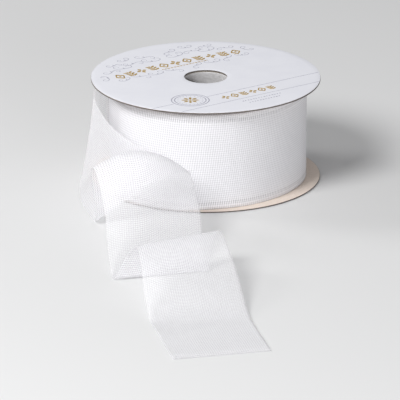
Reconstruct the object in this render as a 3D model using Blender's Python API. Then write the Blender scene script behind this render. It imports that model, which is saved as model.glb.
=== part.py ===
"""Ribbon spool: a glued board reel that holds 1.5 inch sheer ribbon, with the ribbon's free end drawn off.

Metres, +Z up. The reel is modelled about its own axis, and the whole assembly is then moved so that the
origin is the centre of its footprint on the table. Seen from above, the ribbon winds outwards anticlockwise,
leaves the reel on its left, twists a quarter turn and lies in folds towards -Y.
"""
import math

import bmesh
import bpy
import numpy as np
from mathutils import Vector

MM = 0.001

# Driving dimensions, in millimetres
RIBBON_WIDTH = 38.1            # 1.5 inch ribbon
RIBBON_THICKNESS = 0.30        # one layer, over its selvages
WINDING_PLAY = 1.56            # room between the flanges beside the ribbon's width
REST_CLEARANCE = 0.10          # between the lower flange and the ribbon that rests on it

FLANGE_DIAMETER = 90.0
BOARD_THICKNESS = 0.50
LABEL_THICKNESS = 0.12
LABEL_INSET = 0.10             # the paper stops this far inside the board's rim
GLUE_FILM = 0.05               # between paper and board, and on both sides of a glue ring
GLUE_RING_THICKNESS = 0.15
GLUE_RING_INSET = 0.30         # the glue stops this far inside each wall of the tube

HOLE_DIAMETER = 16.8
CORE_WALL = 2.90
TAPE_THICKNESS = 0.12
TAPE_GAP = 0.05
TAPE_HEIGHT = 24.0
TAPE_ARC = 40.0                # degrees round the core
PACK_CLEARANCE = 0.25          # between the tape and the first turn
PACK_DIAMETER = 74.6

WRAP_CLEARANCE = 0.45          # between the pack and the last turn, where that lifts off
TABLE_CLEARANCE = 0.06         # the free end's underside above the table
TAIL_GAP = 0.30                # between the last turn's solid and the free end's

ROUND_SEGMENTS = 96
WRAP_STEP = 4.0                # degrees between two rows of faces on the last turn
TAIL_STEPS = 4                 # rows of faces between two stations of the free end's route
TAIL_COLUMNS = 4               # faces across the free end

# Worked out from the driving dimensions
FLANGE_RADIUS = FLANGE_DIAMETER / 2
HOLE_RADIUS = HOLE_DIAMETER / 2
FLANGE_STACK = LABEL_THICKNESS + GLUE_FILM + BOARD_THICKNESS
INSIDE_HEIGHT = RIBBON_WIDTH + WINDING_PLAY
TOTAL_HEIGHT = 2 * FLANGE_STACK + INSIDE_HEIGHT
GLUE_STACK = GLUE_RING_THICKNESS + 2 * GLUE_FILM
CORE_RADIUS = HOLE_RADIUS + CORE_WALL
TAPE_RADIUS = CORE_RADIUS + TAPE_GAP + TAPE_THICKNESS / 2
PACK_INNER_RADIUS = TAPE_RADIUS + TAPE_THICKNESS / 2 + PACK_CLEARANCE
PACK_RADIUS = PACK_DIAMETER / 2
WRAP_RADIUS = PACK_RADIUS + WRAP_CLEARANCE + RIBBON_THICKNESS / 2
RIBBON_LOW = FLANGE_STACK + REST_CLEARANCE

# The last turn's route: degrees anticlockwise from +X, and how far it stands off the place where it leaves the
# pack. It bulges at the front of the reel, and it ends at the free end.
WRAP_ROUTE = [
    (205, 0.0), (230, 1.7), (250, 3.5), (270, 4.2), (289, 3.4), (309, 2.0), (330, 1.3), (350, 1.5),
    (370, 1.8), (400, 1.8), (430, 2.0), (460, 2.8), (490, 4.1), (510, 5.0),
]

# The free end's route about the reel's axis, in millimetres, drawn round a flange of the radius ROUTE_RIM.
# A station is a point on the left selvage, the one that is at the bottom on the reel, a point towards the right
# selvage, and how far the cloth bows up between the two. Heights are above the table, and in the stretch
# between the flanges above the ribbon's low edge on the reel.
ROUTE_RIM = 45.0
REEL_ROUTE = [
    ((-42.4, 10.0, 0.05), (-42.4, 10.0, 38.1), 0.0),     # leaves the reel, still upright
    ((-46.2, 1.0, 0.0), (-43.6, -6.0, 37.4), 0.0),
]
TABLE_ROUTE = [
    ((-48.8, -8.0, 0.8), (-42.6, -19.5, 36.5), 0.0),     # over the lower flange's rim
    ((-49.5, -17.0, 0.5), (-37.6, -33.0, 32.6), 0.0),
    ((-48.8, -28.0, 0.5), (-29.5, -43.0, 27.6), 0.0),
    ((-46.4, -42.0, 0.5), (-20.8, -49.5, 24.0), 0.0),
    ((-42.4, -56.5, 0.8), (-11.5, -52.0, 21.8), 0.0),    # first fold, its left corner on the table
    ((-42.4, -59.8, 6.0), (-7.4, -53.0, 21.4), 1.5),
    ((-43.0, -60.4, 14.0), (-5.4, -54.0, 20.8), 3.0),
    ((-43.6, -60.6, 20.5), (-4.4, -55.0, 19.8), 4.5),
    ((-42.8, -63.0, 23.8), (-3.6, -57.5, 18.2), 6.0),    # over the first ridge
    ((-40.6, -71.5, 20.8), (-3.0, -66.0, 15.2), 4.5),
    ((-38.8, -86.0, 14.0), (-2.4, -79.0, 11.3), 1.5),
    ((-37.8, -101.0, 6.5), (-1.8, -93.0, 6.5), 0.0),
    ((-36.6, -113.0, 1.6), (-0.4, -104.5, 1.6), 0.0),
    ((-35.4, -119.0, 0.6), (1.4, -109.5, 0.6), 0.0),     # second fold, on the table
    ((-33.2, -120.0, 4.0), (2.2, -106.5, 4.0), 0.0),
    ((-29.9, -120.7, 10.5), (3.6, -103.5, 10.5), 0.0),
    ((-27.0, -122.7, 14.2), (5.1, -103.0, 14.0), 0.0),   # over the second ridge
    ((-25.6, -129.0, 13.8), (7.4, -110.0, 14.2), 0.0),
    ((-24.4, -139.0, 10.4), (9.6, -122.5, 11.8), 0.0),
    ((-23.4, -150.0, 5.0), (12.6, -140.0, 6.5), 0.0),
    ((-21.4, -164.0, 1.0), (15.4, -157.0, 1.8), 0.0),
    ((-19.2, -174.0, 0.5), (18.0, -168.0, 0.5), 0.0),
    ((-12.5, -204.2, 0.4), (23.6, -195.1, 0.4), 0.0),    # the cut end, flat on the table
]


def clear_scene():
    for old in list(bpy.data.objects):
        bpy.data.objects.remove(old, do_unlink=True)


def material(name, colour, roughness):
    made = bpy.data.materials.new(name)
    made.use_nodes = True
    shader = made.node_tree.nodes["Principled BSDF"]
    shader.inputs["Base Color"].default_value = (*colour, 1.0)
    shader.inputs["Roughness"].default_value = roughness
    shader.inputs["Metallic"].default_value = 0.0
    return made


def add_object(name, mesh, surface, parent, smooth_angle=40.0):
    mesh.materials.append(surface)
    mesh.shade_smooth()
    mesh.set_sharp_from_angle(angle=math.radians(smooth_angle))
    made = bpy.data.objects.new(name, mesh)
    bpy.context.scene.collection.objects.link(made)
    made.parent = parent
    return made


def add_empty(name, parent=None):
    made = bpy.data.objects.new(name, None)
    bpy.context.scene.collection.objects.link(made)
    made.parent = parent
    return made


def ring_outline(inner, outer, low, high):
    return [(inner, low), (outer, low), (outer, high), (inner, high)]


def turned(name, outline, surface, parent):
    """Spin a closed r-z outline, in millimetres, once round the Z axis."""
    work = bmesh.new()
    corners = [work.verts.new((radius * MM, 0.0, height * MM)) for radius, height in outline]
    edges = [work.edges.new((corners[i - 1], corner)) for i, corner in enumerate(corners)]
    bmesh.ops.spin(
        work, geom=corners + edges, cent=(0, 0, 0), axis=(0, 0, 1), angle=math.tau,
        steps=ROUND_SEGMENTS, use_merge=True,
    )
    bmesh.ops.recalc_face_normals(work, faces=work.faces)
    mesh = bpy.data.meshes.new(name)
    work.to_mesh(mesh)
    work.free()
    return add_object(name, mesh, surface, parent)


def sheet(name, points, thickness, surface, parent):
    """A thin closed sheet: a grid of points, rows by columns, thickened about its middle."""
    rows, columns = points.shape[:2]
    index = np.arange(rows * columns).reshape(rows, columns)
    faces = np.stack([index[:-1, :-1], index[:-1, 1:], index[1:, 1:], index[1:, :-1]], axis=-1)
    mesh = bpy.data.meshes.new(name)
    mesh.from_pydata((points.reshape(-1, 3) * MM).tolist(), [], faces.reshape(-1, 4).tolist())
    made = add_object(name, mesh, surface, parent)
    skin = made.modifiers.new("thickness", "SOLIDIFY")
    skin.thickness = thickness * MM
    skin.offset = 0.0
    return made


def upright_sheet(radius, angle, low, high):
    """Grid of points on an upright curved wall, from arrays of radius and of angle in radians."""
    x, y = radius * np.cos(angle), radius * np.sin(angle)
    return np.stack([np.stack([x, y, np.full_like(x, z)], axis=-1) for z in (low, high)], axis=1)


def unit(vectors):
    return vectors / np.linalg.norm(vectors, axis=-1, keepdims=True)


def smooth_rows(values):
    """Catmull-Rom curve through the rows of values, in TAIL_STEPS steps between two rows."""
    padded = np.vstack([2 * values[0] - values[1], values, 2 * values[-1] - values[-2]])
    before, here, ahead, beyond = padded[:-3], padded[1:-2], padded[2:-1], padded[3:]
    share = np.arange(TAIL_STEPS)[:, None, None] / TAIL_STEPS
    curve = 0.5 * (
        2 * here + (ahead - before) * share + (2 * before - 5 * here + 4 * ahead - beyond) * share**2
        + (3 * here - before - 3 * ahead + beyond) * share**3
    )
    return np.vstack([curve.transpose(1, 0, 2).reshape(-1, values.shape[1]), values[-1]])


def route_stations():
    """The route round the actual flange: each point moves out by what the flange is larger than ROUTE_RIM."""
    stations = [
        ((*left[:2], left[2] + RIBBON_LOW), (*right[:2], right[2] + RIBBON_LOW), bow)
        for left, right, bow in REEL_ROUTE
    ] + TABLE_ROUTE
    left = np.array([station[0] for station in stations])
    right = np.array([station[1] for station in stations])
    bow = np.array([[station[2]] for station in stations])
    outwards = unit(left * (1, 1, 0)) * (FLANGE_RADIUS - ROUTE_RIM)
    return left + outwards, unit(right - left), bow


def tail_points():
    """Grid of points over the free end, of constant width from its left selvage, bowed up in the middle."""
    left, across, bow = route_stations()
    left, across, bow = smooth_rows(left), unit(smooth_rows(across)), smooth_rows(bow)
    facing = unit(np.cross(np.gradient(left, axis=0), across))
    share = np.linspace(0, 1, TAIL_COLUMNS + 1)[None, :, None]
    points = left[:, None] + across[:, None] * share * RIBBON_WIDTH
    points = points + facing[:, None] * bow[:, None] * 4 * share * (1 - share)
    points[..., 2] = np.maximum(points[..., 2], TABLE_CLEARANCE + RIBBON_THICKNESS / 2)
    return points


def wrap_points():
    """Grid of points over the last turn, a loose spiral from the pack to the free end."""
    end = route_stations()[0][0]
    end_radius = math.hypot(end[0], end[1])
    end_angle = math.tau + math.atan2(end[1], end[0]) - TAIL_GAP / end_radius
    route_angle = np.radians([degrees for degrees, _ in WRAP_ROUTE])
    route_radius = np.array([WRAP_RADIUS + stand_off for _, stand_off in WRAP_ROUTE])
    rows = round(math.degrees(end_angle - route_angle[0]) / WRAP_STEP) + 1
    angle = np.linspace(route_angle[0], end_angle, rows)
    radius = np.interp(angle, [*route_angle, end_angle], [*route_radius, end_radius])
    return upright_sheet(radius, angle, RIBBON_LOW, RIBBON_LOW + RIBBON_WIDTH)


def add_reel(parent):
    board = material("tan_greyboard", (0.55, 0.47, 0.40), 0.85)
    printed = material("printed_white_paper", (0.75, 0.75, 0.80), 0.55)
    plain = material("plain_white_paper", (0.72, 0.72, 0.74), 0.7)
    tube = material("tube_paper", (0.52, 0.50, 0.48), 0.8)
    glue = material("dry_glue", (0.80, 0.77, 0.68), 0.4)
    tape = material("clear_tape", (0.78, 0.76, 0.66), 0.3)
    cloth = material("white_sheer_ribbon", (0.90, 0.90, 0.93), 0.6)

    def flange(side, low, paper_low, glue_low, paper):
        rim, hole = FLANGE_RADIUS, HOLE_RADIUS
        turned(f"{side}_flange", ring_outline(hole, rim, low, low + BOARD_THICKNESS), board, parent)
        turned(
            f"{side}_label",
            ring_outline(hole, rim - LABEL_INSET, paper_low, paper_low + LABEL_THICKNESS),
            paper, parent,
        )
        turned(
            f"{side}_glue_ring",
            ring_outline(
                hole + GLUE_RING_INSET, CORE_RADIUS - GLUE_RING_INSET,
                glue_low, glue_low + GLUE_RING_THICKNESS,
            ),
            glue, parent,
        )

    flange("bottom", LABEL_THICKNESS + GLUE_FILM, 0.0, FLANGE_STACK + GLUE_FILM, plain)
    flange(
        "top", TOTAL_HEIGHT - FLANGE_STACK, TOTAL_HEIGHT - LABEL_THICKNESS,
        TOTAL_HEIGHT - FLANGE_STACK - GLUE_FILM - GLUE_RING_THICKNESS, printed,
    )
    core_low = FLANGE_STACK + GLUE_STACK
    turned(
        "core_tube",
        ring_outline(HOLE_RADIUS, CORE_RADIUS, core_low, TOTAL_HEIGHT - core_low),
        tube, parent,
    )
    tape_angle = np.radians(np.linspace(-TAPE_ARC / 2, TAPE_ARC / 2, 13))
    tape_low = (TOTAL_HEIGHT - TAPE_HEIGHT) / 2
    sheet(
        "start_tape",
        upright_sheet(np.full_like(tape_angle, TAPE_RADIUS), tape_angle, tape_low, tape_low + TAPE_HEIGHT),
        TAPE_THICKNESS, tape, parent,
    )
    turned(
        "wound_ribbon",
        ring_outline(PACK_INNER_RADIUS, PACK_RADIUS, RIBBON_LOW, RIBBON_LOW + RIBBON_WIDTH),
        cloth, parent,
    )
    return cloth


def add_free_ribbon(parent, cloth):
    sheet("outer_wrap", wrap_points(), RIBBON_THICKNESS, cloth, parent)
    sheet("ribbon_tail", tail_points(), RIBBON_THICKNESS, cloth, parent)


def footprint_centre():
    bpy.context.view_layer.update()
    shapes = [shape for shape in bpy.data.objects if shape.type == "MESH"]
    depsgraph = bpy.context.evaluated_depsgraph_get()
    corners = [
        shape.matrix_world @ Vector(corner)
        for shape in shapes for corner in shape.evaluated_get(depsgraph).bound_box
    ]
    low = [min(corner[i] for corner in corners) for i in range(2)]
    high = [max(corner[i] for corner in corners) for i in range(2)]
    return (low[0] + high[0]) / 2, (low[1] + high[1]) / 2


def main():
    clear_scene()
    assembly = add_empty("assembly")
    reel_axis = add_empty("reel_axis", assembly)
    unwind_axis = add_empty("unwind_axis", assembly)
    cloth = add_reel(reel_axis)
    add_free_ribbon(unwind_axis, cloth)
    x, y = footprint_centre()
    assembly.location = (-x, -y, 0.0)
    bpy.context.view_layer.update()
    print("reel axis at", tuple(round(value, 6) for value in reel_axis.matrix_world.translation))


main()
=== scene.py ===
import math

import bpy
import numpy as np
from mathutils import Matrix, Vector


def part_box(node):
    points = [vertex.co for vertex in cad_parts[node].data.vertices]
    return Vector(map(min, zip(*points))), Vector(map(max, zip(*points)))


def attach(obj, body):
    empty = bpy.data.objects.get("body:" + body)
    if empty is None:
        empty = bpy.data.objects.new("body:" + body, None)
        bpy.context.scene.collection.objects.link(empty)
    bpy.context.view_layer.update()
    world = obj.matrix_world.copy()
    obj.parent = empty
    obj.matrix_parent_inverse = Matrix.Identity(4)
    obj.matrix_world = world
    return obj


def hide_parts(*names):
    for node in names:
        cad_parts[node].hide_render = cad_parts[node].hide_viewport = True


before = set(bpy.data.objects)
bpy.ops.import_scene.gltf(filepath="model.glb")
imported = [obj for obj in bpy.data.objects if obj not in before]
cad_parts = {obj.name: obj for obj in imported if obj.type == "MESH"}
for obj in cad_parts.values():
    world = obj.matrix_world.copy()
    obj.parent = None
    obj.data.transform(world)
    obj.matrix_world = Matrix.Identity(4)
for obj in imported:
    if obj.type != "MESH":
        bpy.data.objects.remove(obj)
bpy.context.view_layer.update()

millimetre = 0.001
fullTurn = 2 * math.pi
holeRadius = 8.4
tubeBox = [np.array(corner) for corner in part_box("core_tube")]
reelCentre = np.array([*((tubeBox[0] + tubeBox[1]) / 2)[:2], 0.0])


def nodeSpan(name):
    # lowest height, highest height and outer radius of a round CAD node, in millimetres
    low, high = (np.array(corner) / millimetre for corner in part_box(name))
    return low[2], high[2], (high[0] - low[0]) / 2


def toTable(points):
    # millimetres about the reel's axis become metres in the shared frame
    return np.asarray(points, dtype=float) * millimetre + reelCentre


# camera and light

cameraView = {
    "distance": 2363.1,   # from the axis on the table
    "elevation": 19.126,  # degrees above the table
    "aim": (-2.21, -29.2, 0.0),
    "lens": 540.0,
    "sensor": 36.0,
    "reach": 20.0,        # metres
}

lamps = {
    # places and sizes in millimetres about the axis on the table; every lamp faces that point
    "keySoftbox": {"place": (-635, -770, 900), "size": 550.0, "watts": 14.6, "tint": (1.0, 1.0, 0.998)},
    "leftPanel": {"place": (-1500, 520, 860), "size": 640.0, "watts": 9.6, "tint": (1.0, 1.0, 1.0)},
    "lowFill": {"place": (520, -1380, 150), "size": 700.0, "watts": 10.8, "tint": (0.99, 0.99, 1.0)},
}

roomLight = {"tint": (0.985, 0.988, 1.0), "strength": 0.30}


def addCamera():
    tilt = math.radians(cameraView["elevation"])
    away = cameraView["distance"] * np.array([0.0, -math.cos(tilt), math.sin(tilt)])
    data = bpy.data.cameras.new("camera")
    data.lens = cameraView["lens"]
    data.sensor_width = cameraView["sensor"]
    data.clip_end = cameraView["reach"]
    camera = bpy.data.objects.new("camera", data)
    bpy.context.scene.collection.objects.link(camera)
    turnTowards(camera, away, cameraView["aim"])
    bpy.context.scene.camera = camera


def turnTowards(thing, place, target):
    place, target = toTable(place), toTable(target)
    thing.location = place
    direction = Vector(target - place)
    thing.rotation_euler = direction.to_track_quat("-Z", "Y").to_euler()


def addLamp(name, place, size, watts, tint):
    data = bpy.data.lights.new(name, "AREA")
    data.shape = "DISK"
    data.size = size * millimetre
    data.energy = watts
    data.color = tint
    lamp = bpy.data.objects.new(name, data)
    bpy.context.scene.collection.objects.link(lamp)
    turnTowards(lamp, place, (0, 0, 0))


def lightRoom():
    world = bpy.data.worlds.new("room")
    world.use_nodes = True
    glow = world.node_tree.nodes["Background"]
    glow.inputs["Color"].default_value = (*roomLight["tint"], 1.0)
    glow.inputs["Strength"].default_value = roomLight["strength"]
    bpy.context.scene.world = world
    for name, lamp in lamps.items():
        addLamp(name, **lamp)


addCamera()
lightRoom()
bpy.context.scene.view_settings.view_transform = "Standard"
bpy.context.scene.cycles.transparent_max_bounces = 48    # enough for sight through every layer of ribbon
print("camera and lamps are up")


# shader sums written as plain sums

class Wire:
    # one output socket, so that maths on it adds the Math nodes
    def __init__(self, finish, socket):
        self.finish = finish
        self.socket = socket

    def maths(self, operation, *others):
        return self.finish.node("Math", {"operation": operation}, dict(enumerate((self, *others))))

    def __add__(self, other):
        return self.maths("ADD", other)

    def __mul__(self, other):
        return self.maths("MULTIPLY", other)

    def __sub__(self, other):
        return self.maths("SUBTRACT", other)

    def __rsub__(self, other):
        return self.finish.node("Math", {"operation": "SUBTRACT"}, {0: other, 1: self})

    def __truediv__(self, other):
        return self.maths("DIVIDE", other)

    def ripple(self):
        # goes 0, 1, 0 once for each whole number passed
        return (self * fullTurn).maths("COSINE") * -0.5 + 0.5

    def between(self, low, high, soft):
        # 1 from low to high, fading to 0 over soft on either side
        rise = self.ramped(low - soft, low + soft)
        return rise * (1 - self.ramped(high - soft, high + soft))

    def ramped(self, low, high):
        # 0 below low, 1 above high
        return self.finish.node(
            "MapRange", {"interpolation_type": "SMOOTHSTEP"},
            {"Value": self, "From Min": low, "From Max": high},
        )


class Finish:
    # a material in the making, with a Principled shader at its end
    def __init__(self, name, **fixed):
        self.material = bpy.data.materials.new(name)
        self.material.use_nodes = True
        self.tree = self.material.node_tree
        self.shader = self.tree.nodes["Principled BSDF"]
        self.shader.inputs["Metallic"].default_value = 0.0
        for socket, value in fixed.items():
            self.shader.inputs[socket].default_value = value

    def node(self, kind, settings=None, sockets=None, output=0):
        made = self.tree.nodes.new("ShaderNode" + kind)
        for name, value in (settings or {}).items():
            setattr(made, name, value)
        for name, value in (sockets or {}).items():
            self.join(made.inputs[name], value)
        return Wire(self, made.outputs[output])

    def join(self, socket, value):
        if isinstance(value, Wire):
            self.tree.links.new(value.socket, socket)
        else:
            socket.default_value = value

    def coordinates(self, kind, centre=(0.0, 0.0, 0.0), turn=0.0, stretch=(1.0, 1.0, 1.0)):
        # kind is Object or UV; centre is taken away first, in metres
        raw = self.node("TexCoord", output={"UV": 2, "Object": 3}[kind])
        moved = self.node("VectorMath", {"operation": "SUBTRACT"}, {0: raw, 1: centre})
        return self.node("Mapping", {}, {"Vector": moved, "Rotation": (0.0, 0.0, turn), "Scale": stretch})

    def parts(self, vector):
        split = self.node("SeparateXYZ", {}, {0: vector})
        outputs = split.socket.node.outputs
        return [Wire(self, outputs[index]) for index in range(3)]

    def flat(self, x, y):
        return self.node("CombineXYZ", {}, {"X": x, "Y": y})

    def noise(self, vector, size, detail=3.0):
        # size is the width of one blotch in millimetres
        return self.node(
            "TexNoise", {},
            {"Vector": vector, "Scale": 1 / (size * millimetre), "Detail": detail, "Roughness": 0.55},
        )

    def blend(self, share, first, second):
        first, second = ((*c, 1.0) if isinstance(c, tuple) else c for c in (first, second))
        return self.node("Mix", {"data_type": "RGBA"}, {0: share, 6: first, 7: second}, output=2)

    def drive(self, **links):
        for socket, wire in links.items():
            self.join(self.shader.inputs[socket.replace("_", " ")], wire)

    def letThrough(self, solid, backlit, tint):
        # cloth of open threads: part of it glows with the light behind, and the gaps show what is there
        glow = self.node("BsdfTranslucent", {}, {"Color": (*tint, 1.0)})
        gap = self.node("BsdfTransparent")
        body = self.node("MixShader", {}, {0: backlit, 1: Wire(self, self.shader.outputs[0]), 2: glow})
        whole = self.node("MixShader", {}, {0: solid, 1: gap, 2: body})
        self.join(self.tree.nodes["Material Output"].inputs["Surface"], whole)

    def relief(self, height, depth, strength=1.0):
        # depth in millimetres for a height of 1
        bump = self.node("Bump", {}, {"Height": height, "Distance": depth * millimetre, "Strength": strength})
        self.join(self.shader.inputs["Normal"], bump)


# meshes from grids

def gridFaces(rows, columns, closedRows, closedColumns):
    # quads between neighbours of a grid, round the end where a direction is closed
    number = np.arange(rows * columns).reshape(rows, columns)
    if closedRows:
        number = np.vstack([number, number[:1]])
    if closedColumns:
        number = np.hstack([number, number[:, :1]])
    corners = (number[:-1, :-1], number[1:, :-1], number[1:, 1:], number[:-1, 1:])
    return np.stack([corner.ravel() for corner in corners], axis=1)


def addMesh(name, points, faces, finish, body, cloth=None, smooth=True):
    # points in millimetres about the axis; cloth is a pair of lengths per corner point, for the UV map
    mesh = bpy.data.meshes.new(name)
    mesh.vertices.add(len(points))
    mesh.vertices.foreach_set("co", toTable(points).ravel())
    mesh.loops.add(faces.size)
    mesh.loops.foreach_set("vertex_index", faces.ravel())
    mesh.polygons.add(len(faces))
    mesh.polygons.foreach_set("loop_start", np.arange(0, faces.size, faces.shape[1]))
    mesh.polygons.foreach_set("use_smooth", np.full(len(faces), smooth))
    mesh.update(calc_edges=True)
    if cloth is not None:
        layer = mesh.uv_layers.new(name="threads")
        layer.data.foreach_set("uv", (cloth * millimetre).ravel())
    mesh.validate()
    mesh.materials.append(finish.material)
    piece = bpy.data.objects.new(name, mesh)
    bpy.context.scene.collection.objects.link(piece)
    if body is None:
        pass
    else:
        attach(piece, body)
    return piece


def unit(vectors):
    return vectors / np.linalg.norm(vectors, axis=-1, keepdims=True)


def turnedPiece(name, profile, segments, finish, body, shape):
    # a closed profile of (radius, height) carried once round the axis: x = r cos a, y = r sin a, z = h.
    # shape moves the grid before it is bent round: it gets radius, height and angle and gives back both lengths
    angle = np.arange(segments) / segments * fullTurn
    radius, height = (np.repeat(column[:, None], segments, axis=1) for column in np.asarray(profile).T)
    around = np.broadcast_to(angle, radius.shape)
    radius, height = shape(radius, height, around)
    points = np.stack([radius * np.cos(around), radius * np.sin(around), height], axis=-1)
    faces = gridFaces(len(profile), segments, True, True)[:, ::-1]
    return addMesh(name, points.reshape(-1, 3), faces, finish, body)


def roundedOutline(inner, outer, low, high, corner, across, upright):
    # rectangle between two radii and two heights with rounded corners, anticlockwise from its low inner corner:
    # each corner is a quarter circle, each side is cut into equal steps
    quarter = np.linspace(0, math.pi / 2, 4)
    centres = [
        (outer - corner, low + corner, -math.pi / 2, upright),
        (outer - corner, high - corner, 0.0, across),
        (inner + corner, high - corner, math.pi / 2, upright),
        (inner + corner, low + corner, math.pi, across),
    ]
    arcs = [
        np.stack([r + corner * np.cos(start + quarter), h + corner * np.sin(start + quarter)], axis=1)
        for r, h, start, _ in centres
    ]
    outline = []
    for index, arc in enumerate(arcs):
        steps = centres[index][3]
        following = arcs[(index + 1) % 4][0]
        share = np.linspace(0, 1, steps + 1)[1:-1, None]
        outline += [arc, arc[-1] * (1 - share) + following * share]
    return np.vstack(outline)


print("mesh and shader helpers are ready")


# table top

floorLook = {
    "paper": (0.715, 0.715, 0.715),
    "shade": (0.700, 0.702, 0.705),
    "roughness": 0.85,
    "cloud": 180.0,    # width of a darker patch
    "tooth": 1.2,      # width and height of the paper's own relief
    "toothDepth": 0.02,
    "half": 2500.0,    # from the middle to each edge
    "points": 9,
    "height": -0.02,
}


def addFloor():
    # a flat square grid: x and y in equal steps, one height
    sweep = Finish("seamlessPaper", Roughness=floorLook["roughness"])
    spot = sweep.coordinates("Object")
    cloud = sweep.noise(spot, floorLook["cloud"])
    sweep.drive(Base_Color=sweep.blend(cloud, floorLook["paper"], floorLook["shade"]))
    sweep.relief(sweep.noise(spot, floorLook["tooth"]), floorLook["toothDepth"], 0.3)
    points = floorLook["points"]
    across = np.linspace(-floorLook["half"], floorLook["half"], points)
    x, y = np.meshgrid(across, across)
    grid = np.stack([x, y, np.full_like(x, floorLook["height"])], axis=-1)
    addMesh("table_top", grid.reshape(-1, 3), gridFaces(points, points, False, False)[:, ::-1], sweep, None)


addFloor()
print("table top is laid")

# flange boards and their papers

boardLook = {
    "segments": 540,
    "sideSteps": (14, 4),    # across a face, up the cut edge
    "corner": 0.10,
    "warp": 0.05,            # how far the rim wanders up and down
    "fray": 0.035,           # how far the cut edge wanders in and out
    "ply": 0.16,             # one layer of grey paper in the cut edge
    "rimBand": (44.83, 44.93),    # radii between which the face turns into the cut edge
    "holeBand": (8.46, 8.56),
    "face": (0.815, 0.715, 0.640),
    "faceDark": (0.720, 0.620, 0.540),
    "fleck": (0.420, 0.350, 0.300),
    # the cut edge: the board's own dark grey, painted darker still to stand for the shade on it
    "cutEdge": (0.085, 0.072, 0.066),
    "cutPlies": (0.165, 0.140, 0.125),
    "fibreSize": 1.1,        # widths of the fibres, the blotches and the darker flecks
    "blotchSize": 7.0,
    "fleckSize": 0.45,
}

boardRadius = nodeSpan("top_flange")[2]
topSeed, bottomSeed = 23, 11

labelLook = {
    "segments": 360,
    "white": (0.790, 0.795, 0.845),
    "shade": (0.755, 0.760, 0.815),
    "rub": (0.640, 0.640, 0.680),
    "underside": (0.700, 0.700, 0.690),
    "sideSteps": (16, 3),
    "corner": 0.035,
    "setBack": 0.03,              # of the paper from the board's hole
    "rimRub": (44.3, 44.9),       # radii between which the edge is rubbed
    "holeRub": (8.6, 9.1),
    "toothSize": 0.25,
    "fibreSize": 1.6,
    "blotchSize": 11.0,
    "rubSize": 1.3,
}


def inMetres(lengths):
    return [length * millimetre for length in lengths]


def wander(angle, seed, coarse=3, fine=40):
    # a closed wavy line round the axis: the sum of sines of whole numbers of waves with seeded phases
    random = np.random.default_rng(seed)
    waves = np.arange(coarse, coarse + fine)
    phases, sizes = random.uniform(0, fullTurn, fine), random.uniform(0.3, 1.0, fine) / np.sqrt(waves)
    total = (sizes * np.sin(angle[..., None] * waves + phases)).sum(axis=-1)
    return total / np.abs(total).max()


def rimLift(side, radius, angle, seed):
    # how far a flange's rim wanders up and down: a few slow waves round it that grow with the square of the radius
    share = (radius - holeRadius) / (boardRadius - holeRadius)
    return (side == "top") * boardLook["warp"] * share**2 * wander(angle, seed, 2, 3)


def greyboard():
    card = Finish("greyboard", Roughness=0.88)
    spot = card.coordinates("Object", tuple(reelCentre))
    x, y, z = card.parts(spot)
    fibreSpot = card.coordinates("Object", tuple(reelCentre), 0.6, (1.0, 4.0, 1.0))
    fibre = card.noise(fibreSpot, boardLook["fibreSize"])
    blotch = card.noise(spot, boardLook["blotchSize"])
    fleck = card.noise(spot, boardLook["fleckSize"], 1.0).ramped(0.66, 0.74)
    face = card.blend(fibre.ramped(0.3, 0.7) * 0.6 + blotch * 0.4, boardLook["face"], boardLook["faceDark"])
    face = card.blend(fleck * 0.5, face, boardLook["fleck"])
    plies = (z / (boardLook["ply"] * millimetre) + card.noise(spot, 3.0) * 0.8).ripple()
    # the cut edge's colour is the board's own grey with painted shade added
    cut = card.blend(plies * 0.7, boardLook["cutEdge"], boardLook["cutPlies"])
    reach = card.node("VectorMath", {"operation": "LENGTH"}, {0: card.flat(x, y)}, output=1)
    rimEdge = reach.ramped(*inMetres(boardLook["rimBand"]))
    holeEdge = 1 - reach.ramped(*inMetres(boardLook["holeBand"]))
    card.drive(Base_Color=card.blend(rimEdge.maths("MAXIMUM", holeEdge), face, cut))
    card.relief(fibre + fleck * 0.5, 0.04, 0.7)
    return card


def labelPaper(name, white, shade):
    paper = Finish(name, Roughness=0.52)
    spot = paper.coordinates("Object", tuple(reelCentre))
    x, y, _ = paper.parts(spot)
    tooth = paper.noise(spot, labelLook["toothSize"])
    fibreSpot = paper.coordinates("Object", tuple(reelCentre), 0.6, (1.0, 5.0, 1.0))
    fibre = paper.noise(fibreSpot, labelLook["fibreSize"])
    blotch = paper.noise(spot, labelLook["blotchSize"], 2.0)
    reach = paper.node("VectorMath", {"operation": "LENGTH"}, {0: paper.flat(x, y)}, output=1)
    worn = paper.noise(spot, labelLook["rubSize"]).ramped(0.45, 0.62)
    rim = reach.ramped(*inMetres(labelLook["rimRub"])) * worn * 0.8
    hole = (1 - reach.ramped(*inMetres(labelLook["holeRub"]))) * worn * 0.9
    ground = paper.blend(blotch.ramped(0.35, 0.7) * 0.6 + fibre * 0.3, white, shade)
    paper.drive(
        Base_Color=paper.blend(rim.maths("MAXIMUM", hole), ground, labelLook["rub"]),
        Roughness=fibre * 0.18 + 0.46,
    )
    paper.relief(tooth * 0.5 + fibre, 0.012, 0.6)
    return paper


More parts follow.
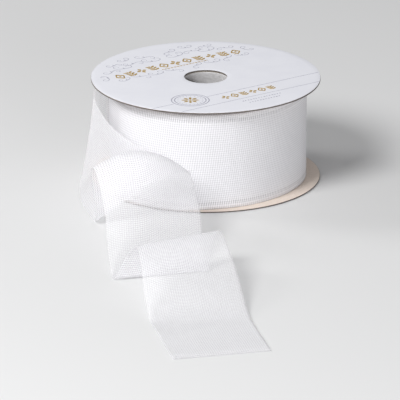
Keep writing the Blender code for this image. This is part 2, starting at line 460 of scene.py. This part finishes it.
def addFlange(side, seed):
    low, high, rim = nodeSpan(side + "_flange")
    hole = holeRadius
    outline = roundedOutline(hole, rim, low, high, boardLook["corner"], *boardLook["sideSteps"])

    def worn(radius, height, angle):
        share = (radius - hole) / (rim - hole)
        inwards = boardLook["fray"] * (0.5 + 0.5 * wander(angle[0], seed + 1, 30, 90))
        atRim, atHole = share > 0.99, share < 0.02
        frayed = radius - np.where(atRim, inwards, 0) + np.where(atHole, 0.3 * inwards, 0)
        return frayed, height + rimLift(side, radius, angle[0], seed)

    board = turnedPiece(side + "_board", outline, boardLook["segments"], greyboardFinish, "spool", worn)
    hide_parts(side + "_flange")
    low, high, rim = nodeSpan(side + "_label")
    start = hole + labelLook["setBack"]
    outline = roundedOutline(start, rim, low, high, labelLook["corner"], *labelLook["sideSteps"])

    def pasted(radius, height, angle):
        return radius, height + rimLift(side, radius, angle[0], seed)

    finish = printedFinish if side == "top" else plainFinish
    paper = turnedPiece(side + "_paper", outline, labelLook["segments"], finish, "spool", pasted)
    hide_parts(side + "_label")


greyboardFinish = greyboard()
printedFinish = labelPaper("printedPaper", labelLook["white"], labelLook["shade"])
plainFinish = labelPaper("plainPaper", labelLook["underside"], labelLook["shade"])
addFlange("bottom", bottomSeed)
addFlange("top", topSeed)
print("flanges and papers are on")

# printing on the top paper: plain ornament in gold foil and grey ink

printLook = {
    "turn": 35.0,          # how far the print is turned on the reel, in degrees
    "foilHeight": 0.030,
    "inkHeight": 0.014,
    "sunk": 0.008,
    "foil": (0.600, 0.395, 0.075),
    "foilDark": (0.370, 0.220, 0.030),
    "ink": (0.290, 0.290, 0.360),
    "inkPale": (0.420, 0.420, 0.490),
    "hairline": 0.25,      # width of a grey line
    "rowHeight": 20.9,     # the long gold row, above the middle of the hole
    "rowArch": 2.0,
    "rowReach": 27.6,
    "rowSizes": (1.18, 1.28),
    "lowerRow": (-8.5, 13.0, 6, -25.6),     # from, to, how many motifs, and their height on the label
    "lowerSize": 0.98,
    "dottedLine": (-8.8, 12.0, 1.45, 16.7), # from, to, step and height
    "rules": (-20.8, -30.4),
    "badge": (-21.7, -20.6),
    "badgeRings": (7.3, 6.1),
    "badgeDots": (20, 4.9, 0.2),            # how many, how far from the badge's middle, and their radius
    "dashRows": ((-33.4, -6.0, 12.0), (-36.0, -4.5, 10.5)),     # height, from and to
    "dashStep": 1.25,
    "dashSizes": (0.45, 0.85),
    "dashWidth": 0.55,
    "bud": (1.3, 0.5),                      # length and width of the leaf on a scroll's middle
    # middle, heading, length, curl and twist of the scrolls on one side; the other side mirrors them
    "scrolls": [
        ((6.2, 27.6), 12, 19.0, 5.6, -1.0), ((14.2, 29.6), -30, 17.0, 5.8, 1.0), ((20.5, 26.4), 10, 18.0, 5.4, -1.0),
        ((27.2, 25.4), -40, 15.0, 5.8, 1.0), ((6.0, 33.6), -6, 16.0, 5.8, 1.0), ((14.5, 34.4), -14, 14.0, 5.8, -1.0),
        ((21.8, 31.8), -30, 13.0, 5.6, 1.0), ((32.6, 19.6), -70, 14.0, 5.6, -1.0), ((5.6, 13.6), 6, 15.0, 5.6, 1.0),
        ((13.4, 13.0), -4, 17.0, 5.8, -1.0), ((20.8, 14.6), 8, 16.0, 5.6, 1.0), ((27.6, 13.8), -20, 14.0, 5.8, -1.0),
    ],
}


def line(start, end, width, points=2):
    share = np.linspace(0, 1, points)[:, None]
    return np.array(start) * (1 - share) + np.array(end) * share, np.full(points, width)


def leaf(start, end, width):
    # a straight stroke whose width follows half a sine wave
    share = np.linspace(0, 1, 9)
    return line(start, end, 1.0, 9)[0], width * np.sin(math.pi * np.clip(share, 0.02, 0.98))


def disc(centre, radius):
    # a stroke as wide as a circle is at each place along it
    share = np.linspace(-0.99, 0.99, 11)
    path = np.array(centre) + np.stack([share * radius, 0 * share], axis=1)
    return path, 2 * radius * np.sqrt(1 - share**2)


def ring(centre, radius, width, points=72):
    angle = np.linspace(0, fullTurn, points + 1)
    return np.array(centre) + radius * np.stack([np.cos(angle), np.sin(angle)], axis=1), np.full(points + 1, width)


def scroll(centre, heading, length, curl, twist, width, parts=120):
    # its heading turns by curl times the square of the distance from its middle; with twist -1 both ends curl to the
    # same side, with twist 1 to opposite sides
    share = np.linspace(-1, 1, parts + 1)
    direction = math.radians(heading) + curl * np.where(share < 0, twist, 1.0) * share**2
    moves = np.stack([np.cos(direction), np.sin(direction)], axis=1) * length / parts
    path = np.cumsum(moves, axis=0)
    return path - path[parts // 2] + np.array(centre), width * (1.2 - 0.6 * np.abs(share))


def placed(strokes, centre, turn, size):
    # turns, sizes and moves strokes drawn about (0, 0)
    c, s = math.cos(turn), math.sin(turn)
    spin = np.array([[c, s], [-s, c]])
    return [(path @ spin * size + np.array(centre), width * size) for path, width in strokes]


def lozengeMotif():
    corners = np.array([[0, 2.1], [1.6, 0], [0, -2.1], [-1.6, 0], [0, 2.1]])
    sides = [line(corners[i], corners[i + 1], 0.42 if i % 2 else 0.75) for i in range(4)]
    return [*sides, disc((0, 0), 0.42)]


def petalMotif():
    ends = [(1.9, 0), (0, 2.1), (-1.9, 0), (0, -2.1)]
    return [leaf((end[0] * 0.15, end[1] * 0.15), end, 1.15) for end in ends]


def sprigMotif():
    leaves = [leaf((0, low), (side * 1.7, low + 1.1), 0.8) for low in (-1.9, -0.6, 0.7) for side in (-1, 1)]
    return [line((0, -2.1), (0, 2.1), 0.26), *leaves]


def foilStrokes():
    strokes = []
    order = [petalMotif, lozengeMotif, sprigMotif, petalMotif, sprigMotif, lozengeMotif]
    order = [*order[:0:-1], *order]
    for index, across in enumerate(np.linspace(-1, 1, len(order))):
        spot = (across * printLook["rowReach"], printLook["rowHeight"] - printLook["rowArch"] * across**2)
        turn = -2 * printLook["rowArch"] * across / printLook["rowReach"]
        strokes += placed(order[index](), spot, turn, printLook["rowSizes"][index % 2])
    first, last, count, height = printLook["lowerRow"]
    for index, across in enumerate(np.linspace(first, last, count)):
        motif = (petalMotif, lozengeMotif, sprigMotif)[index % 3]
        strokes += placed(motif(), (across, height), 0.0, printLook["lowerSize"])
    first, last, step, height = printLook["dottedLine"]
    for across in np.arange(first, last, step):
        strokes += [disc((across, height), 0.36), line((across + 0.6, height), (across + 1.0, height), 0.3)]
    star = [leaf(0.9 * np.array(way), 3.5 * np.array(way), 1.1) for way in compass(8)]
    return strokes + placed([*star, disc((0, 0), 0.55)], printLook["badge"], 0.2, 1.0)


def compass(points):
    # unit vectors evenly round a circle
    angle = np.arange(points) / points * fullTurn
    return np.stack([np.cos(angle), np.sin(angle)], axis=1)


def ruleStrokes():
    strokes = []
    rim = boardRadius - 0.5
    for height in printLook["rules"]:
        reach = math.sqrt(rim**2 - height**2)
        ends = [(-reach, reach)]
        if abs(height - printLook["badge"][1]) < printLook["badgeRings"][0]:
            gap = printLook["badgeRings"][0] + 0.6
            ends = [(-reach, printLook["badge"][0] - gap), (printLook["badge"][0] + gap, reach)]
        strokes += [line((a, height), (b, height), printLook["hairline"], 24) for a, b in ends]
    return strokes


def inkStrokes():
    hair = printLook["hairline"]
    strokes = ruleStrokes() + [ring(printLook["badge"], radius, 1.5 * hair) for radius in printLook["badgeRings"]]
    dots, reach, radius = printLook["badgeDots"]
    strokes += placed([disc(way * reach, radius) for way in compass(dots)], printLook["badge"], 0.0, 1.0)
    random = np.random.default_rng(31)
    for height, first, last in printLook["dashRows"]:
        for across in np.arange(first, last, printLook["dashStep"]):
            size = random.uniform(*printLook["dashSizes"])
            strokes.append(line((across, height), (across + size, height), printLook["dashWidth"]))
    budLength, budWidth = printLook["bud"]
    for middle, heading, length, curl, twist in printLook["scrolls"]:
        path, width = scroll(middle, heading, length, curl, twist, hair)
        bud = leaf(middle, (middle[0], middle[1] + budLength), budWidth)
        strokes += [(points * side, wide) for points, wide in ((path, width), bud) for side in ((1, 1), (-1, 1))]
    return strokes


def printStrokes(name, strokes, height, finish):
    # each stroke is a low wall along its path: four corners beside and above every point, with both ends shut
    corners, faces, count = [], [], 0
    low, top, _ = nodeSpan("top_label")
    for path, width in strokes:
        along = unit(np.gradient(path, axis=0))
        beside = np.stack([-along[:, 1], along[:, 0]], axis=1) * width[:, None] / 2
        flat = np.stack([path + beside, path - beside, path - beside, path + beside], axis=1)
        rise = np.broadcast_to([-printLook["sunk"], -printLook["sunk"], height, height], flat.shape[:2])
        corners.append(np.concatenate([flat, rise[..., None]], axis=-1).reshape(-1, 3))
        walls = gridFaces(len(path), 4, False, True)
        last = (len(path) - 1) * 4
        ends = np.array([[3, 2, 1, 0], [last, last + 1, last + 2, last + 3]])
        faces.append(np.vstack([walls[:, ::-1], ends[:, ::-1]]) + count)
        count += len(path) * 4
    corners = np.vstack(corners)
    turn = math.radians(printLook["turn"])
    x = corners[:, 0] * math.cos(turn) - corners[:, 1] * math.sin(turn)
    y = corners[:, 0] * math.sin(turn) + corners[:, 1] * math.cos(turn)
    lift = rimLift("top", np.hypot(x, y), np.arctan2(y, x), topSeed)
    points = np.stack([x, y, top + corners[:, 2] + lift], axis=1)
    piece = addMesh(name, points, np.vstack(faces), finish, "spool", smooth=False)


def addPrinting():
    foil = Finish("goldFoil", Metallic=0.25)
    cloud = foil.noise(foil.coordinates("Object"), 0.8)
    foil.drive(
        Base_Color=foil.blend(cloud.ramped(0.35, 0.65), printLook["foil"], printLook["foilDark"]),
        Roughness=cloud * 0.25 + 0.25,
    )
    foil.relief(cloud, 0.01)
    ink = Finish("greyInk", Roughness=0.6)
    patch = ink.noise(ink.coordinates("Object"), 0.5)
    ink.drive(Base_Color=ink.blend(patch.ramped(0.4, 0.6), printLook["ink"], printLook["inkPale"]))
    printStrokes("gold_ornament", foilStrokes(), printLook["foilHeight"], foil)
    printStrokes("grey_ornament", inkStrokes(), printLook["inkHeight"], ink)


addPrinting()
print("ornament is printed")

# core tube, glue and starting tape

tubeLook = {
    "segments": 240,
    "corner": 0.25,
    "sideSteps": (6, 90),
    "ply": 27.0,        # width of the spiral paper strip along the axis
    "seamWidth": 0.5,
    "seamDepth": 0.16,
    "paper": (0.58, 0.57, 0.58),
    "paperDark": (0.48, 0.47, 0.47),
    "seam": (0.23, 0.22, 0.21),
}

hiddenLook = {
    "glue": (0.78, 0.74, 0.62),
    "glueDark": (0.62, 0.55, 0.42),
    "tape": (0.80, 0.76, 0.62),
    "tapeDark": (0.72, 0.66, 0.50),
}


def seamAway(height, angle):
    # how far a point lies from the spiral seam along the axis, in millimetres
    turn = height / tubeLook["ply"] - angle / fullTurn
    return np.abs(turn - np.round(turn)) * tubeLook["ply"]


def addCoreTube():
    low, high, outer = nodeSpan("core_tube")
    outline = roundedOutline(holeRadius, outer, low, high, tubeLook["corner"], *tubeLook["sideSteps"])

    def wound(radius, height, angle):
        groove = tubeLook["seamDepth"] * np.exp(-(seamAway(height, angle) / tubeLook["seamWidth"]) ** 2)
        inside = radius < (holeRadius + outer) / 2
        return radius + np.where(inside, groove, -groove), height

    card = Finish("tubePaper", Roughness=0.82)
    spot = card.coordinates("Object", tuple(reelCentre))
    x, y, z = card.parts(spot)
    bearing = y.maths("ARCTAN2", x) / fullTurn
    turn = z / (tubeLook["ply"] * millimetre) - bearing
    seam = (turn - turn.maths("ROUND")).maths("ABSOLUTE") * tubeLook["ply"]
    fibre = card.noise(card.coordinates("Object", tuple(reelCentre), 0.0, (1.0, 1.0, 4.0)), 1.8)
    ground = card.blend(fibre.ramped(0.3, 0.7), tubeLook["paper"], tubeLook["paperDark"])
    card.drive(Base_Color=card.blend(1 - seam.ramped(0.1, 0.7), ground, tubeLook["seam"]))
    card.relief(fibre, 0.05, 0.6)
    tube = turnedPiece("core_tube_spiral", outline, tubeLook["segments"], card, "spool", wound)
    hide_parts("core_tube")


def finishHiddenNodes():
    glue = Finish("driedGlue", Roughness=0.35)
    cloud = glue.noise(glue.coordinates("Object"), 0.9)
    glue.drive(
        Base_Color=glue.blend(cloud, hiddenLook["glue"], hiddenLook["glueDark"]), Roughness=cloud * 0.3 + 0.2,
    )
    glue.relief(cloud, 0.05)
    tape = Finish("startTape", Roughness=0.25)
    streak = tape.noise(tape.coordinates("Object", (0.0, 0.0, 0.0), 0.0, (1.0, 1.0, 8.0)), 2.0)
    tape.drive(
        Base_Color=tape.blend(streak, hiddenLook["tape"], hiddenLook["tapeDark"]), Roughness=streak * 0.2 + 0.15,
    )
    tape.relief(streak, 0.01)
    for name, finish in (("top_glue_ring", glue), ("bottom_glue_ring", glue), ("start_tape", tape)):
        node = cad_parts[name]
        node.data.materials.clear()
        node.data.materials.append(finish.material)


addCoreTube()
finishHiddenNodes()
print("core tube, glue and tape are done")

# ribbon: threads, wound pack, loose turns and free end

threads = {
    "pitch": 0.90,       # from one thread to the next
    "selvage": 0.9,      # solid woven edge
    "holesFrom": 1.7,    # band of open stitches beside it
    "holesTo": 3.0,
    "width": 38.1,
    "thickness": 0.10,
}

packLook = {
    "inner": 11.77,      # radius of the first turn
    "segments": 300,
    "corner": 0.3,
    "sideSteps": (76, 40),
    "looseness": 0.06,   # of the outermost turn
    "white": (0.925, 0.918, 0.958),
    # the colour of the painted shade between threads and in the open stitches
    "gap": (0.705, 0.700, 0.765),
    "ridge": 1.0,        # from one bundle of turns to the next, on the pack's ends
    "ridgeDepth": 0.18,
}

ribbonLook = {
    "white": (0.965, 0.960, 0.980),
    # the colour of the painted shade between threads and in the open stitches
    "paintedShadeColour": (0.835, 0.830, 0.855),
    "openMesh": 0.21,    # how solid one face of the cloth is between the threads
    "weft": 0.13,
    "warp": 0.09,
    "edge": 0.03,
    "stitchHole": 0.16,
    "onReel": 0.32,      # how much more solid it is where turns lie on each other
    "backlit": 0.33,     # how much of its glow comes from the light behind, and how much less on the reel
    "lessOnReel": 0.18,
    "leaving": 60.0,     # length over which the cloth takes on its look off the reel
    "paintedGapShade": (0.55, 0.35),    # how much painted shade darkens it between crossing threads, and between long ones
    # painted shade in the open stitches on the reel
    "paintedHoleShade": 0.9,
    "uneven": 0.06,
}

looseTurns = {
    "inner": 37.42,      # where the first loose turn lies on the pack
    "turnsBefore": 3,    # loose turns before the last one
    "start": 205.0,      # bearing where the last turn leaves the others
    "stepDegrees": 4.0,
    # bearing and radius of the last turn, and of the turns under it where they differ
    "last": [
        (205, 37.90), (230, 39.60), (250, 41.40), (270, 42.10), (289, 41.30), (309, 39.90), (330, 39.20),
        (350, 39.40), (370, 39.70), (400, 39.70), (430, 39.90), (460, 40.70), (490, 42.00), (510, 42.90),
    ],
    "under": [
        (205, 37.90), (230, 39.60), (250, 41.40), (270, 42.10), (289, 41.30), (309, 39.90), (330, 39.20),
        (350, 39.30), (370, 39.40), (400, 39.00), (430, 38.70), (460, 38.40), (490, 38.10), (520, 37.90),
        (565, 37.90),
    ],
    # bearing, and how much further out the last turn's low edge lies than its high one
    "flare": [(204, 0.0), (212, 4.0), (225, 5.2), (240, 4.3), (250, 3.4), (258, 3.0), (267, 1.2), (276, 0.0)],
}

# the free end: a point on the left selvage, a point towards the right one, and how far the cloth bows between
# them. The left selvage is the one that is low on the reel.
reelStations = [
    ((-42.4, 10.0, 0.05), (-42.4, 10.0, 38.1), 0.0),
    ((-46.2, 1.0, 0.0), (-43.6, -6.0, 37.4), 0.0),
]
tableStations = [
    ((-48.8, -8.0, 0.8), (-42.6, -19.5, 36.5), 0.0),
    ((-49.5, -17.0, 0.5), (-37.6, -33.0, 32.6), 0.0),
    ((-48.8, -28.0, 0.5), (-29.5, -43.0, 27.6), 0.0),
    ((-46.4, -42.0, 0.5), (-20.8, -49.5, 24.0), 0.0),
    ((-42.4, -56.5, 0.8), (-11.5, -52.0, 21.8), 0.0),
    ((-42.4, -59.8, 6.0), (-7.4, -53.0, 21.4), 1.5),
    ((-43.0, -60.4, 14.0), (-5.4, -54.0, 20.8), 3.0),
    ((-43.9, -60.6, 21.3), (-4.2, -56.5, 20.6), 5.5),
    ((-43.4, -63.0, 24.8), (-3.2, -60.5, 21.0), 7.6),
    ((-41.2, -71.5, 21.4), (-2.6, -68.0, 17.4), 5.5),
    ((-38.9, -86.0, 14.0), (-2.4, -80.5, 12.0), 2.0),
    ((-37.8, -101.0, 6.5), (-1.8, -93.0, 6.5), 0.0),
    ((-36.6, -113.0, 1.6), (-0.4, -104.5, 1.6), 0.0),
    ((-35.2, -120.2, 0.6), (1.6, -110.7, 0.6), 0.0),
    ((-33.2, -120.9, 4.0), (2.2, -107.4, 4.0), 0.0),
    ((-29.9, -120.7, 10.5), (3.6, -103.5, 10.5), 0.0),
    ((-27.0, -122.7, 14.2), (5.1, -103.0, 14.0), 0.0),
    ((-25.6, -129.0, 13.8), (7.4, -110.0, 14.2), 0.0),
    ((-24.4, -139.0, 10.4), (9.6, -122.5, 11.8), 0.0),
    ((-23.4, -150.0, 5.0), (12.6, -140.0, 6.5), 0.0),
    ((-21.4, -164.0, 1.0), (15.4, -157.0, 1.8), 0.0),
    ((-19.2, -174.0, 0.5), (18.0, -168.0, 0.5), 0.0),
    ((-12.5, -204.2, 0.4), (23.6, -195.1, 0.4), 0.0),
]

freeEnd = {
    "columns": 32,
    "steps": 8,          # rows between two stations
    "lowest": 0.14,      # of the cloth's middle above the table
    "ripple": 0.14,      # small waves of the cloth
    "rippleFull": 20.0,  # how far from the reel they reach their height
    "waves": [(23.0, 0.6), (11.0, 1.3), (6.5, 2.2)],     # length of a wave, and how far it leans across the ribbon
    "drawnIn": 0.035,    # share of its width the folded cloth loses to its own slackness
    "drawnFrom": 85.0,   # how far from the reel that begins and is full
    "drawnTo": 125.0,
}


def weave(finish, length, width):
    # woven threads from two lengths in metres: along the ribbon and across it. Gives back how much of a crossing
    # thread and of a long thread is there, the solid edge, and the band of open stitches.
    pitch = threads["pitch"] * millimetre
    cloud = finish.noise(finish.flat(length, width), 5.0, 2.0) * 0.5
    crossing = (length / pitch + cloud).ripple()
    along = (width / pitch + cloud * 0.3).ripple()
    half = threads["width"] / 2 * millimetre
    inwards = (half - (width - half).maths("ABSOLUTE")) / millimetre
    edge = 1 - inwards.ramped(threads["selvage"] - 0.2, threads["selvage"] + 0.2)
    holes = inwards.between(threads["holesFrom"], threads["holesTo"], 0.15)
    return crossing, along, edge, holes


def smoothRows(values, steps):
    # Catmull-Rom curve through the rows of values, in equal steps between two rows
    padded = np.vstack([2 * values[0] - values[1], values, 2 * values[-1] - values[-2]])
    before, here, ahead, beyond = padded[:-3], padded[1:-2], padded[2:-1], padded[3:]
    share = np.arange(steps)[:, None, None] / steps
    curve = 0.5 * (
        2 * here + (ahead - before) * share + (2 * before - 5 * here + 4 * ahead - beyond) * share**2
        + (3 * here - before - 3 * ahead + beyond) * share**3
    )
    return np.vstack([curve.transpose(1, 0, 2).reshape(-1, values.shape[1]), values[-1]])


def addPack():
    low, high, outer = nodeSpan("wound_ribbon")
    outline = roundedOutline(packLook["inner"], outer, low, high, packLook["corner"], *packLook["sideSteps"])

    def wound(radius, height, angle):
        spiral = (radius / packLook["ridge"] + angle / fullTurn) * fullTurn
        atEnd = (np.abs(height - low) < 0.05) | (np.abs(height - high) < 0.05)
        inwards = packLook["ridgeDepth"] * (0.5 + 0.5 * np.cos(spiral)) * atEnd
        height = height + np.where(height > (low + high) / 2, -inwards, inwards)
        loose = packLook["looseness"] * (wander(angle[0], 5, 2, 12) - 1) * (radius > outer - 0.01)
        return radius + loose, height

    cloth = Finish("woundRibbon", Roughness=0.62)
    spot = cloth.coordinates("Object", tuple(reelCentre))
    x, y, z = cloth.parts(spot)
    length = y.maths("ARCTAN2", x) * (outer * millimetre)
    crossing, along, edge, holes = weave(cloth, length, z - low * millimetre)
    cover = crossing * 0.45 + along * 0.35 + 0.2
    cover = cover.maths("MAXIMUM", edge) - holes * (1 - crossing) * 0.7
    cover = cover - cloth.noise(spot, 3.0) * 0.12
    # painted shade: the gaps between threads and the open stitches are darker; the noise adds random unevenness
    cloth.drive(Base_Color=cloth.blend(cover.ramped(0.0, 0.9), packLook["gap"], packLook["white"]))
    cloth.relief(cover, 0.08, 0.8)
    pack = turnedPiece("wound_pack", outline, packLook["segments"], cloth, "spool", wound)
    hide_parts("wound_ribbon")


def looseTurnStations():
    # upright rows round the pack: each turn lies between the pack and the last turn, opening out from one to the
    # other, and the last turn follows its own radii up to the free end
    start = looseTurns["start"]
    begin = start - 360 * looseTurns["turnsBefore"]
    end = 360 + math.degrees(math.atan2(reelStations[0][0][1], reelStations[0][0][0]))
    endRadius = math.hypot(*reelStations[0][0][:2])
    rows = round((end - begin) / looseTurns["stepDegrees"])
    bearing = np.linspace(begin, end, rows + 1)[:-1]
    lastBearing, lastRadius = np.array([*looseTurns["last"], (end, endRadius)]).T
    underBearing, underRadius = np.array(looseTurns["under"]).T
    under = np.interp((bearing - start) % 360 + start, underBearing, underRadius)
    opening = np.clip((bearing - begin) / (start - begin), 0, 1)
    radius = looseTurns["inner"] + opening * (under - looseTurns["inner"])
    radius = np.where(bearing < start, radius, np.interp(bearing, lastBearing, lastRadius))
    soft = np.convolve(np.pad(radius, 2, mode="edge"), np.array([1, 2, 3, 2, 1]) / 9, mode="valid")
    turn = np.radians(bearing)
    low = nodeSpan("wound_ribbon")[0]
    flare = np.interp(bearing, *np.array(looseTurns["flare"]).T)
    outward = np.stack([np.cos(turn), np.sin(turn), np.zeros_like(turn)], axis=1)
    left = outward * (soft + flare)[:, None] + [0.0, 0.0, low]
    return left, unit([0.0, 0.0, threads["width"]] - outward * flare[:, None]), np.zeros((len(left), 1))


def routeStations():
    low = nodeSpan("wound_ribbon")[0]
    lifted = [((*a[:2], a[2] + low), (*b[:2], b[2] + low), bow) for a, b, bow in reelStations]
    stations = lifted + tableStations
    left, right = (np.array([station[side] for station in stations]) for side in (0, 1))
    bow = np.array([[station[2]] for station in stations])
    turns = looseTurnStations()
    return np.vstack([turns[0], left]), np.vstack([turns[1], unit(right - left)]), np.vstack([turns[2], bow])


def ribbonGrid():
    # a point is the left selvage, plus across times its share of the width, plus facing times the bow, which is
    # a parabola over the width; the folded rows are drawn in towards their middles, and small waves that die out
    # on the reel are added along facing
    left, across, bow = routeStations()
    turnRows = len(looseTurnStations()[0])
    leftFine = smoothRows(left, freeEnd["steps"])
    acrossFine = unit(smoothRows(across, freeEnd["steps"]))
    bowFine = smoothRows(bow, freeEnd["steps"])
    freeFrom = (turnRows - 1) * freeEnd["steps"]
    keep = np.concatenate([np.arange(0, freeFrom, freeEnd["steps"] // 2), np.arange(freeFrom, len(leftFine))])
    leftFine, acrossFine, bowFine = leftFine[keep], acrossFine[keep], bowFine[keep]
    facing = unit(np.cross(np.gradient(leftFine, axis=0), acrossFine))
    share = np.linspace(0, 1, freeEnd["columns"] + 1)[None, :, None]
    points = leftFine[:, None] + acrossFine[:, None] * share * threads["width"]
    points = points + facing[:, None] * bowFine[:, None] * 4 * share * (1 - share)
    middle = points.mean(axis=1)
    length = np.concatenate([[0.0], np.cumsum(np.linalg.norm(np.diff(middle, axis=0), axis=1))])
    reelLength = length[np.searchsorted(keep, freeFrom)]
    drawn = np.interp(length - reelLength, [freeEnd["drawnFrom"], freeEnd["drawnTo"]], [0, 1])
    drawn = (1 - freeEnd["drawnIn"] * drawn)[:, None, None]
    points = middle[:, None] * (1 - drawn) + points * drawn
    free = np.clip((length - reelLength) / freeEnd["rippleFull"], 0, 1)
    waves = 0
    random = np.random.default_rng(7)
    for size, lean in freeEnd["waves"]:
        phase = random.uniform(0, fullTurn, 2)
        crest = np.sin(length[:, None] * fullTurn / size + phase[0] + 4 * lean * share[0, :, 0])
        height = size / freeEnd["waves"][0][0]
        waves = waves + height * crest * np.cos(3 * lean * share[0, :, 0] + phase[1])
    points = points + facing[:, None] * (freeEnd["ripple"] * free[:, None] * waves)[..., None]
    points[..., 2] = np.maximum(points[..., 2], freeEnd["lowest"])
    return points, length, reelLength


def sheerCloth(reelLength):
    # reelLength is how much of the ribbon's length lies in turns on the reel, in millimetres
    cloth = Finish("sheerRibbon", Roughness=0.6)
    spot = cloth.coordinates("UV")
    length, width, _ = cloth.parts(spot)
    crossing, along, edge, holes = weave(cloth, length, width)
    wound = 1 - length.ramped((reelLength - ribbonLook["leaving"]) * millimetre, reelLength * millimetre)
    solid = crossing * ribbonLook["weft"] + along * ribbonLook["warp"] + ribbonLook["openMesh"]
    solid = solid + edge * ribbonLook["edge"] - holes * wound * (1 - crossing) * ribbonLook["stitchHole"]
    cloud = cloth.noise(spot, 4.0, 2.0)
    # painted shade: the cloth is darker between crossing threads, between long threads and in the open stitches on
    # the reel; the cloud adds random unevenness
    crossGap, longGap = ribbonLook["paintedGapShade"]
    shade = (1 - crossing) * crossGap + (1 - along) * longGap + cloud.ramped(0.3, 0.7) * 0.1
    shade = shade + holes * wound * (1 - crossing) * ribbonLook["paintedHoleShade"]
    solid = solid + (cloud - 0.5) * ribbonLook["uneven"] + wound * ribbonLook["onReel"]
    cloth.drive(Base_Color=cloth.blend(shade, ribbonLook["white"], ribbonLook["paintedShadeColour"]))
    cloth.relief(crossing + along, 0.05, 0.6)
    cloth.letThrough(solid, ribbonLook["backlit"] - wound * ribbonLook["lessOnReel"], ribbonLook["white"])
    return cloth


def addRibbon():
    points, length, reelLength = ribbonGrid()
    rows, columns = points.shape[:2]
    faces = gridFaces(rows, columns, False, False)
    across = np.broadcast_to(np.linspace(0, threads["width"], columns), (rows, columns))
    steps = np.linalg.norm(np.diff(points, axis=0, prepend=points[:1]), axis=2)
    along = np.cumsum(steps, axis=0)    # each long thread has its own length, so that crossing threads never spread
    threadMap = np.stack([along, across], axis=-1).reshape(-1, 2)[faces.ravel()]
    finish = sheerCloth(reelLength)
    ribbon = addMesh("loose_ribbon", points.reshape(-1, 3), faces, finish, "free_ribbon", cloth=threadMap)
    wall = ribbon.modifiers.new("cloth", "SOLIDIFY")
    wall.thickness = threads["thickness"] * millimetre
    wall.offset = 0.0
    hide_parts("outer_wrap", "ribbon_tail")
    length[-1] * millimetre
    print("loose ribbon is", round(length[-1]), "mm long")


addPack()
addRibbon()
print("ribbon is wound and folded")
